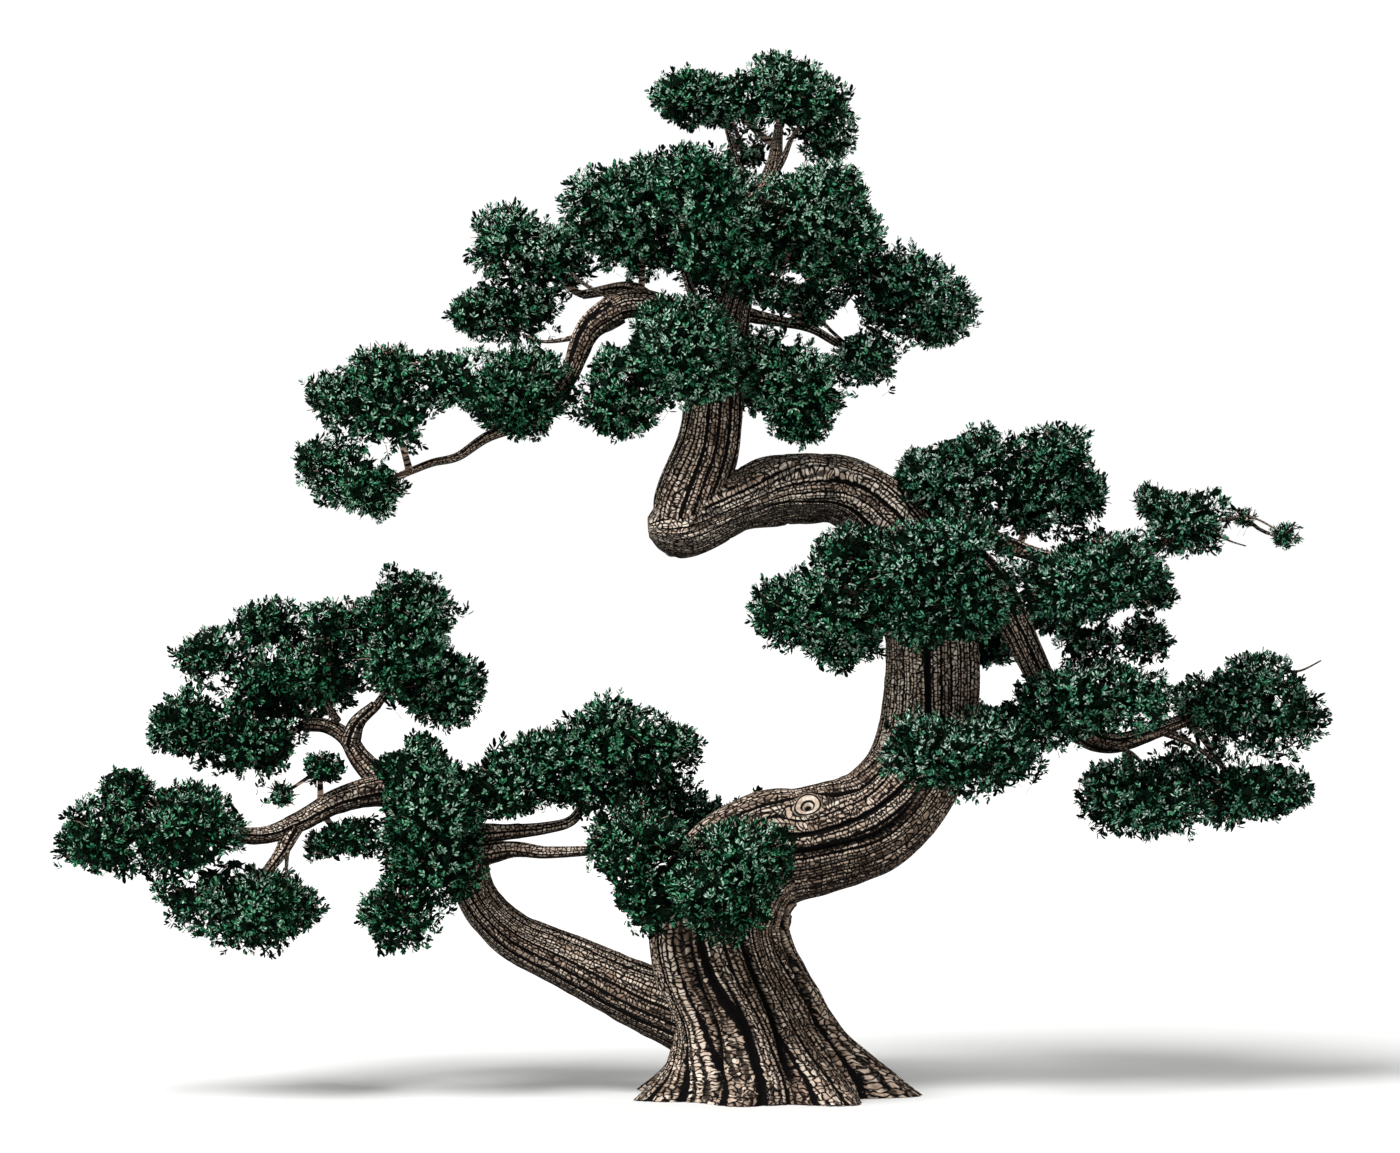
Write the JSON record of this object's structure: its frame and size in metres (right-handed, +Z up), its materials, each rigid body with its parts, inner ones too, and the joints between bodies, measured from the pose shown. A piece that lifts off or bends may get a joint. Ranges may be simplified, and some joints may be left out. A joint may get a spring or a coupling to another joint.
{
  "type": "cedar tree",
  "caption": "Old open-grown cedar with a winding fluted trunk, long crooked boughs and separate rounded pads of dark blue-green foliage",
  "frame": {"origin": "centre of the flat cut under the trunk, at ground level", "axes": "+Z up along the growth of the tree, +X towards the long right-hand boughs as seen from the front, -Y towards the front"},
  "size_m": [10.1171, 3.0188, 8.3077],
  "materials": {
    "bark": "rough, deeply furrowed bark",
    "foliage": "matt dark blue-green sprays of scale leaves"
  },
  "bodies": {
    "root": {"trunk": "bark", "low_left_bough": "bark", "left_arm": "bark", "upper_left_arm": "bark", "upper_left_fork": "bark", "hanging_arm": "bark", "lower_link": "bark", "upper_link": "bark", "right_bough": "bark", "right_bough_end": "bark", "right_middle_bough": "bark", "left_crown_bough": "bark", "left_crown_arm": "bark", "left_crown_spur": "bark", "crown_right_bough": "bark", "crown_low_right_bough": "bark", "crown_back": "foliage", "crown_front": "foliage", "crown_left": "foliage", "crown_low_back": "foliage", "crown_low_front": "foliage", "crown_low_right": "foliage", "crown_right": "foliage", "crown_under_left": "foliage", "crown_under_right": "foliage", "far_crown_right": "foliage", "far_left_pad": "foliage", "far_right_pad": "foliage", "hanging_pad": "foliage", "hanging_tip": "foliage", "hanging_tip_low": "foliage", "high_left_pad": "foliage", "inner_left_pad": "foliage", "left_crown_pad": "foliage", "left_middle": "foliage", "left_middle_back": "foliage", "left_tier": "foliage", "left_top": "foliage", "low_left_pad": "foliage", "middle_back": "foliage", "middle_front": "foliage", "middle_left_pad": "foliage", "middle_top": "foliage", "middle_top_right": "foliage", "right_long_pad": "foliage", "right_low_far_pad": "foliage", "right_low_pad": "foliage", "right_middle_back": "foliage", "right_middle_front": "foliage", "right_small_tufts": "foliage", "right_tip_tuft": "foliage", "right_trunk_back_pad": "foliage", "right_trunk_front_pad": "foliage", "top_left": "foliage", "top_right": "foliage", "trunk_back_mass": "foliage", "trunk_front_mass": "foliage", "trunk_left_mass": "foliage", "tuft_above_arm": "foliage", "tuft_below_arm": "foliage"}
  },
  "joints": []
}
